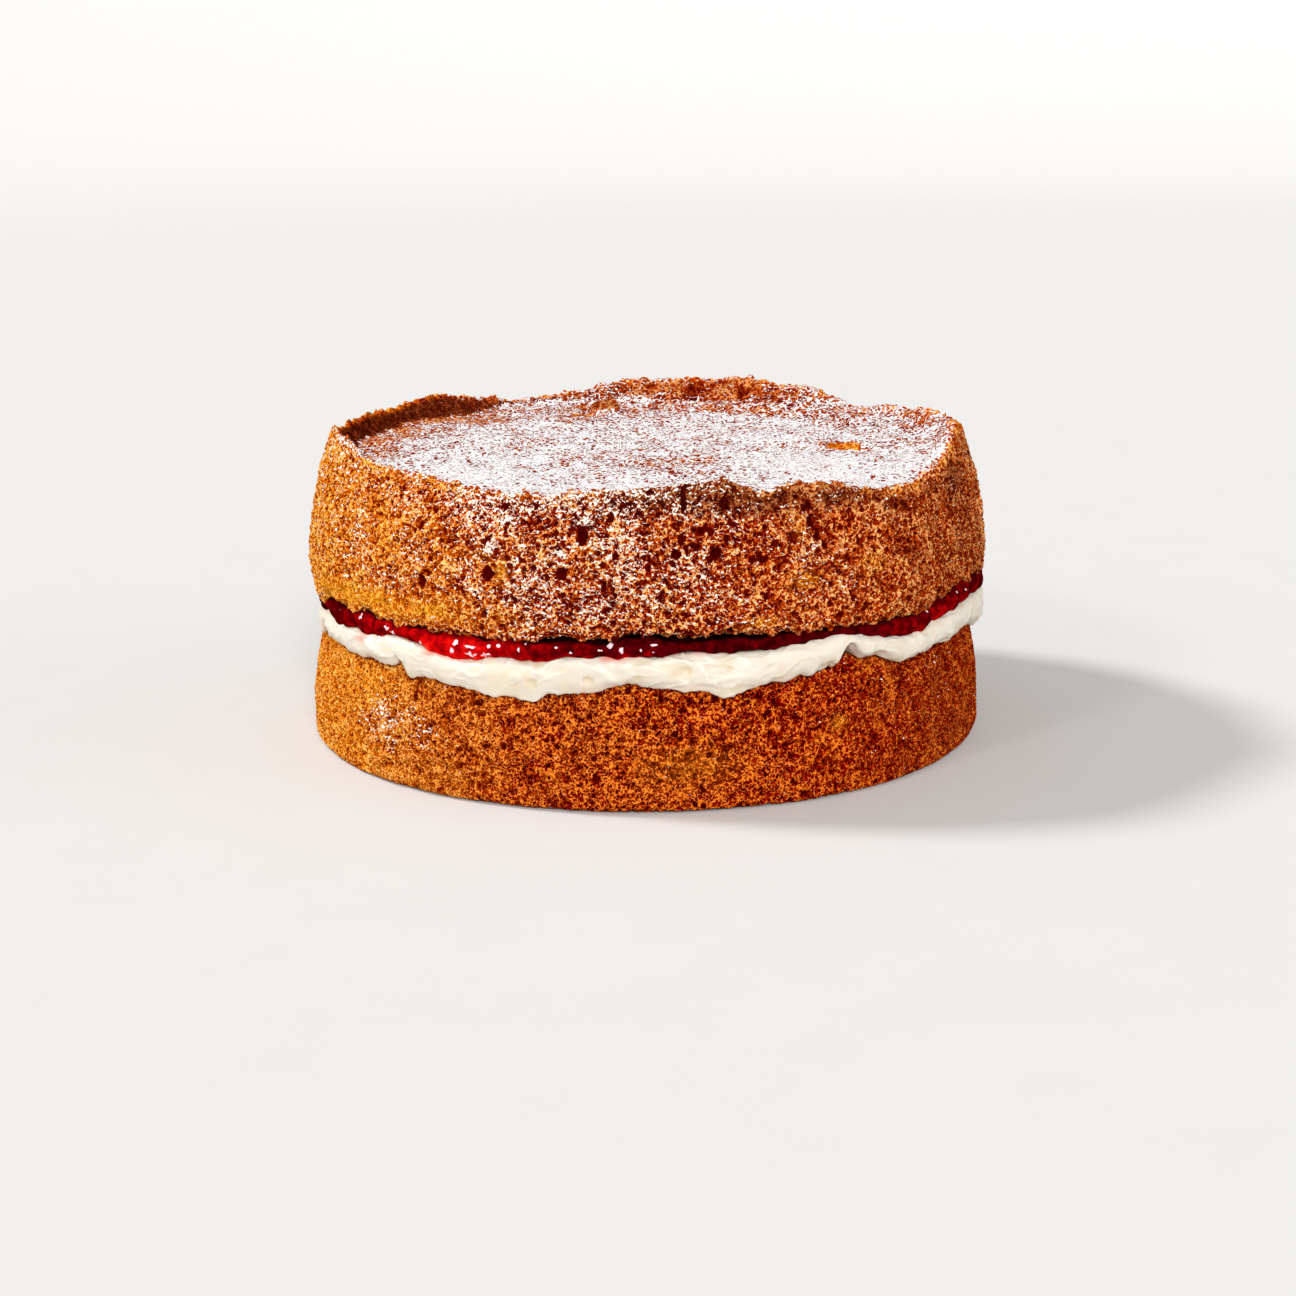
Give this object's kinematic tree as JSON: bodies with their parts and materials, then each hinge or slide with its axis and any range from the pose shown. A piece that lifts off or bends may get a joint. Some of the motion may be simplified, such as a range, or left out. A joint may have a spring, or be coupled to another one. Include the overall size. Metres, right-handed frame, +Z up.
{
  "type": "victoria sponge cake",
  "caption": "Round sponge cake standing on its flat base: thick sponge layers with whipped cream and jam between them, and a sunken, uneven-rimmed top.",
  "frame": {"origin": "centre of the cake's flat underside, on the surface that it stands on", "axes": "+Z up through the layers; -Y is the front, the side with the longest cream drip; +X is the cake's right side seen from the front"},
  "size_m": [0.2012, 0.2014, 0.0931],
  "materials": {
    "sponge": "golden brown porous baked sponge, matt, dusted with icing sugar",
    "cream": "whipped cream, ivory, smooth with knife ridges",
    "jam": "glossy translucent red fruit jam"
  },
  "bodies": {
    "root": {"lower_sponge": "sponge", "cream": "cream", "jam": "jam", "upper_sponge": "sponge"}
  },
  "joints": []
}
